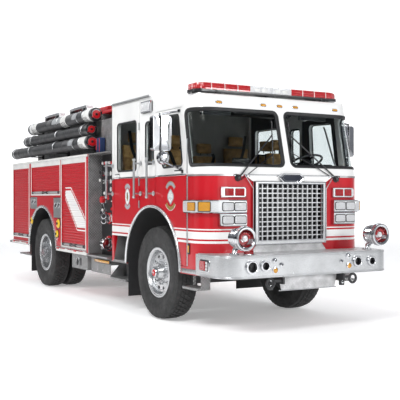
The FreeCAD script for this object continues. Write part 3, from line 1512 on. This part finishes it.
# ---- cab trim and grab rails --------------------------------------------------------------
def cab_trim():
    """Rain gutters over the doors and the bright strips on the belt line, left side."""
    gutter = box(cab_rear + rear_corner, raised_edge + 110, cab_half, cab_half + drip_proud, drip_z,
                 drip_z + drip_height)
    low = cab_belt - belt_height
    strips = []
    for x0, x1 in ((cab_rear + rear_corner, crew_door_rear - door_gap),
                   (crew_door_front + 3 * door_gap, front_door_rear - door_gap)):
        strips.append(box(x0, x1, cab_half, cab_half + belt_proud, low, cab_belt - 2))
    round_nose = box(front_door_front + 4 * door_gap, cab_front + 100, hood_panel_high + 6, cab_half + 100,
                     low, cab_belt - 2)
    strips.append(lower_band(0, belt_proud, low, cab_belt - 2, round_nose))
    return [gutter] + strips


def grab_rail(x):
    y = cab_half + rail_stand_off
    rail = rod(V(x, y, grab_low), V(x, y, grab_high), grab_radius)
    posts = [rod(V(x, cab_half, z), V(x, y, z), grab_post_radius) for z in (grab_low + 45, grab_high - 45)]
    feet = [rod(V(x, cab_half, z), V(x, cab_half + 10, z), 2.4 * grab_post_radius)
            for z in (grab_low + 45, grab_high - 45)]
    return fuse([rail] + posts + feet)


def rear_rail():
    x = body_rear - rear_rail_stand
    low, high = rear_rail_z
    rail = rod(V(x, rear_rail_y, low), V(x, rear_rail_y, high), grab_radius)
    posts = [rod(V(body_rear, rear_rail_y, z), V(x, rear_rail_y, z), grab_post_radius)
             for z in (low + rail_post_inset, high - rail_post_inset)]
    return fuse([rail] + posts)


trim = arch_trims()
for piece in cab_trim():
    trim += both(piece)
keep("bright_trim", compound(trim))
rails = []
for x in grab_places:
    rails += both(grab_rail(x))
keep("grab_rails", compound(rails + both(rear_rail())))


# ---- pump house ---------------------------------------------------------------------------
def pump_house():
    """The closed block behind the cab that holds the pump, with a shelf along its top."""
    rear = body_front + 4
    block = box(rear, pump_front, -pump_half, pump_half, rail_bottom + rail_height, body_top - 13)
    wings = [box(rear, pump_front, min(s * 440, s * pump_half), max(s * 440, s * pump_half), pump_low,
                 rail_bottom + rail_height + 5) for s in (-1, 1)]
    shelf = box(rear, pump_front, -body_half, body_half, body_top - 13, body_top + ledge_thick - 13)
    return fuse([block, shelf] + wings)


def crosslay():
    """A tread-plate box across the pump house for crosslaid hose, open at its ends under the cover."""
    rear = body_front + 4
    low = body_top + ledge_thick - 13
    outer = box(rear, cross_bed_front, -cross_bed_half, cross_bed_half, low, cross_bed_top)
    inner = box(rear + cross_bed_wall, cross_bed_front - cross_bed_wall, -cross_bed_half + cross_bed_wall,
                cross_bed_half - cross_bed_wall, low + cross_bed_wall, cross_bed_top + 1)
    slot = box(rear + cross_bed_wall, cross_bed_front - cross_bed_wall, -cross_bed_half - 1, cross_bed_half + 1,
               cross_bed_top - cross_open, cross_bed_top + 1)
    middle = (rear + cross_bed_front) / 2
    divider = box(middle - cross_bed_wall / 2, middle + cross_bed_wall / 2, -cross_bed_half + 40, cross_bed_half - 40,
                  low + cross_bed_wall, cross_bed_top)
    return fuse([outer.cut(inner).cut(slot), divider])


def upper_bed():
    """Raised tread-plate sides of the hose bed, standing on the body."""
    x0 = upper_bed_rear
    x1 = body_front
    outer = box(x0, x1, -upper_bed_half, upper_bed_half, body_top, upper_bed_top)
    inner = box(x0 + bed_wall / 2, x1 - bed_wall / 2, -upper_bed_half + bed_wall / 2, upper_bed_half - bed_wall / 2,
                body_top - 1, upper_bed_top + 1)
    return outer.cut(inner)


def bed_covers():
    low = cross_bed_top
    cross = box(body_front + 4, cross_bed_front, -cross_bed_half, cross_bed_half, low, low + cross_lid_thick)
    corners = [V(upper_bed_rear - cover_lap, -upper_bed_half - cover_lap, upper_bed_top),
               V(body_front - 4, -upper_bed_half - cover_lap, upper_bed_top),
               V(body_front - 4, upper_bed_half + cover_lap, upper_bed_top),
               V(upper_bed_rear - cover_lap, upper_bed_half + cover_lap, upper_bed_top)]
    return compound([cross, rounded_prism(corners, [30] * 4, V(0, 0, bed_cover))])


def pump_fittings():
    """Chrome pipework, gauges and caps on a pump panel, left side."""
    y = pump_half
    face = y + panel_thick
    out = V(0, 1, 0)
    x, z, radius = twin_elbow
    twin = V(x, face, z)
    forward = V(0.82, 0.57, 0)
    parts = [rod(twin, twin + out * elbow_length, radius)]
    for s in (-1, 1):
        start = twin + out * twin_reach + V(0, 0, s * twin_rise)
        parts.append(rod(start, start + forward * twin_stub[0], twin_stub[1]))
    x, z, radius = deep_suction
    deep = V(x, face, z)
    mouth = deep + out * deep_reach
    parts += [rod(deep, deep + out * elbow_length, radius),
              rod(mouth, mouth + V(deep_stub[0], 0, 0), deep_stub[1])]
    gauges = [rod(V(x, face, z), V(x, face + gauge_proud, z), r) for x, z, r in gauge_table]
    caps = [rod(V(x, face, z), V(x, face + cap_proud, z), r) for x, z, r in outlet_table]
    return [fuse(parts[:3]), fuse(parts[3:])] + gauges + caps


# on each pump panel: elbows, gauges and outlets as x, z, radius; stubs as length, radius
elbow_length = 120.0
twin_elbow = (-1850.0, 1274.0, 58.0)
twin_reach = 88.0
twin_rise = 38.0
twin_stub = (105.0, 34.0)
deep_suction = (-1880.0, 890.0, 88.0)
deep_stub = (130.0, 75.0)
gauge_proud = 26.0
cap_proud = 70.0
gauge_table = ((-1750.0, 1283.0, 62.0), (-1560.0, 1960.0, 70.0), (-1560.0, 1780.0, 70.0), (-1760.0, 1960.0, 42.0),
               (-1760.0, 1840.0, 42.0), (-1760.0, 1720.0, 42.0), (-1960.0, 1960.0, 42.0), (-1960.0, 1840.0, 42.0))
outlet_table = ((-1560.0, 1500.0, 52.0), (-1560.0, 1180.0, 52.0), (-2060.0, 1560.0, 52.0), (-1560.0, 940.0, 80.0))

keep("pump_house", fuse([pump_house(), crosslay()]))
panel = box(body_front + 4, pump_front, pump_half, pump_half + panel_thick, board_top, body_top - 13)
keep("pump_panels", compound(both(panel)))
pipes = []
for piece in pump_fittings():
    pipes += both(piece)
keep("pump_fittings", compound(pipes))


# ---- body -----------------------------------------------------------------------------------
def body_side():
    """A body side with its wheel arch, locker openings and fender door pockets, left side."""
    corners = [V(body_rear, body_inner, body_low), V(body_front, body_inner, body_low),
               V(body_front, body_half, body_low), V(body_rear, body_half, body_low)]
    side = rounded_prism(corners, [0, 0, body_corner, body_corner], V(0, 0, body_top - body_low))
    cuts = [arch_cylinder(rear_arch_x, rear_arch_z, rear_arch_radius, body_inner - 1, body_half + 1)]
    for x0, x1, z0, z1 in locker_table:
        cuts.append(box(x0, x1, body_half - shutter_recess - shutter_thick, body_half + 1, z0, z1))
    for x0, x1, z0, z1, hinge_end in fender_doors:
        grow = door_gap
        cuts.append(box(x0 - grow, x1 + grow, body_half - fender_pocket, body_half + 1, z0 - grow, z1 + grow))
    return side.cut(compound(cuts))


def body_middle():
    """Front wall, rear wall and hose bed floor between the two body sides."""
    half = body_inner
    front = box(body_front - bed_wall, body_front, -half, half, rail_bottom + rail_height, body_top)
    rear = box(body_rear, body_rear + bed_wall, -half, half, body_low, body_top)
    rear = rear.cut(box(body_rear - 1, body_rear + bed_wall / 2, -rear_shutter_half, rear_shutter_half, rear_shutter[0],
                        rear_shutter[1]))
    floor = box(body_rear, body_front, -half, half, bed_floor - 25, bed_floor)
    return [front, rear, floor]


def shutters():
    shapes = []
    y1 = body_half - shutter_recess
    for x0, x1, z0, z1 in locker_table:
        gap = shutter_gap
        shapes += both(box(x0 + gap, x1 - gap, y1 - shutter_thick, y1, z0 + gap, z1 - gap))
    gap = shutter_gap
    shapes.append(box(body_rear + 3, body_rear + bed_wall / 2, -rear_shutter_half + gap, rear_shutter_half - gap,
                      rear_shutter[0] + gap, rear_shutter[1] - gap))
    return compound(shapes)


def body_trim():
    """Frames round the lockers, shutter headers, lift bars, top edge trim and rub rails, left side."""
    y0 = body_half
    face = y0 - shutter_recess
    shapes = []
    for x0, x1, z0, z1 in locker_table:
        b = frame_border
        ring = box(x0 - b, x1 + b, y0, y0 + frame_proud, z0 - b, z1 + b)
        ring = ring.cut(box(x0, x1, y0 - 1, y0 + frame_proud + 1, z0, z1))
        header = box(x0 + shutter_gap, x1 - shutter_gap, face, y0, z1 - shutter_header, z1 - shutter_gap)
        bar = box(x0 + 60, x1 - 60, face, face + 12, z0 + 8, z0 + 8 + lift_bar)
        shapes += [ring, header, bar]
    shapes.append(box(body_rear + body_corner, body_front - body_corner, y0, y0 + edge_proud,
                      body_top - edge_trim, body_top))
    stop = rear_arch_radius - liner_thick + 1.6 * trim_width + rub_gap
    shapes.append(box(body_rear + body_corner, rear_arch_x - stop, y0, y0 + rub_proud, rub_low, rub_high))
    shapes.append(box(rear_arch_x + stop, body_front - body_corner, y0, y0 + rub_proud, rub_low, rub_high))
    return shapes


sides = both(body_side())
keep("body", fuse(sides + body_middle() + [upper_bed()]))
keep("shutters", shutters())
trim = []
for piece in body_trim():
    trim += both(piece)
keep("body_trim", compound(trim))
keep("bed_covers", bed_covers())
for z0, z1 in tail_lamps:
    lamp_box = box(body_rear - tail_lamp_thick, body_rear, tail_lamp_y[0], tail_lamp_y[1], z0, z1)
    if z0 == tail_lamps[1][0]:
        amber += both(lamp_box)
    else:
        red += both(lamp_box)
keep("lamp_housings", compound(housings))
keep("clear_lenses", compound(clear))
keep("red_lenses", compound(red))
keep("amber_lenses", compound(amber))


def fender_door(x0, x1, z0, z1, hinge_end):
    """A small flush door hinged at the end away from the wheel, left side."""
    door = box(x0, x1, body_half - fender_door_thick, body_half, z0, z1)
    edge = x0 if hinge_end < 0 else x1
    pin = edge + hinge_end * door_gap / 2
    y = body_half + hinge_out
    leaf = box(min(pin, edge - hinge_end * 24), max(pin, edge - hinge_end * 24), body_half, y - hinge_radius + 3,
               z0 + 20, z1 - 20)
    barrel = rod(V(pin, y, z0 + 20), V(pin, y, z1 - 20), hinge_radius)
    free = x1 - 60 if hinge_end < 0 else x0 + 20
    latch = box(free, free + 40, body_half, body_half + 12, (z0 + z1) / 2 - 30, (z0 + z1) / 2 + 30)
    return fuse([door, leaf, barrel, latch])


keep("fender_door_rear_left", fender_door(*fender_doors[0]))
keep("fender_door_front_left", fender_door(*fender_doors[1]))
for piece in ("fender_door_rear", "fender_door_front"):
    keep(piece + "_right", mirrored(pieces[piece + "_left"]))


# ---- hard suction hoses on the right side ---------------------------------------------------
def hose_parts():
    """Hoses, their end couplings and the troughs and posts that carry them."""
    hoses = []
    cups = []
    frame = []
    for place in tray_places:
        frame.append(box(place - tray_post / 2, place + tray_post / 2, -tray_post_y - tray_post / 2,
                         -tray_post_y + tray_post / 2, body_top, hose_table[-1][1]))
    for side, z, radius, front, rear in hose_table:
        y = -side
        hoses.append(rod(V(rear + hose_cup_length, y, z), V(front - hose_cup_length, y, z), radius))
        outer = radius + hose_cup_proud
        for start, end in ((front - hose_cup_length, front), (rear + hose_cup_length, rear)):
            cup = rod(V(start, y, z), V(end, y, z), outer)
            depth = hose_cup_length * 0.6 * math.copysign(1, end - start)
            cup = cup.cut(rod(V(end - depth, y, z), V(end + depth, y, z), radius - 12))
            cups.append(fuse([cup, rod(V(start, y, z), V(end - depth / 4, y, z), hose_cap_radius)]))
        inner = radius + hose_gap
        trough = tube(V(rear + tray_end, y, z), V(front - tray_end, y, z), inner + tray_wall, inner)
        trough = trough.common(box(rear, front, y - 2 * radius, y + 2 * radius, z - 2 * radius, z - radius / 4))
        frame.append(trough)
        high = z - inner - tray_wall + 2
        for place in tray_places:
            frame.append(box(place - tray_post / 2, place + tray_post / 2, y - radius / 2, -tray_post_y, high - tray_bracket,
                             high))
    return compound(hoses), compound(cups), fuse(frame)


def deck_light(tip, end):
    """A folded deck light: a pointed bright blade on a short stand on the cover."""
    top = upper_bed_top + bed_cover
    low = top + deck_light_rise
    y = -deck_light_y
    w = deck_light_half
    blade = prism([V(tip, y, low), V(tip + 260, y - w, low), V(end, y - w, low), V(end, y + w, low),
                   V(tip + 260, y + w, low)], V(0, 0, deck_light_thick))
    stand = box(end - 200, end - 20, y - w + 15, y + w - 15, top, low)
    return fuse([blade, stand])


hoses, cups, trays = hose_parts()
keep("suction_hoses", hoses)
keep("hose_couplings", cups)
keep("hose_trays", trays)
keep("deck_lights", compound([deck_light(tip, end) for tip, end in deck_lights]))


# ---- hand over --------------------------------------------------------------------------
os.makedirs("parts", exist_ok=True)
for name, shape in pieces.items():
    shape.translated(V(-mid_x, 0, 0)).exportStep("parts/" + name + ".step")
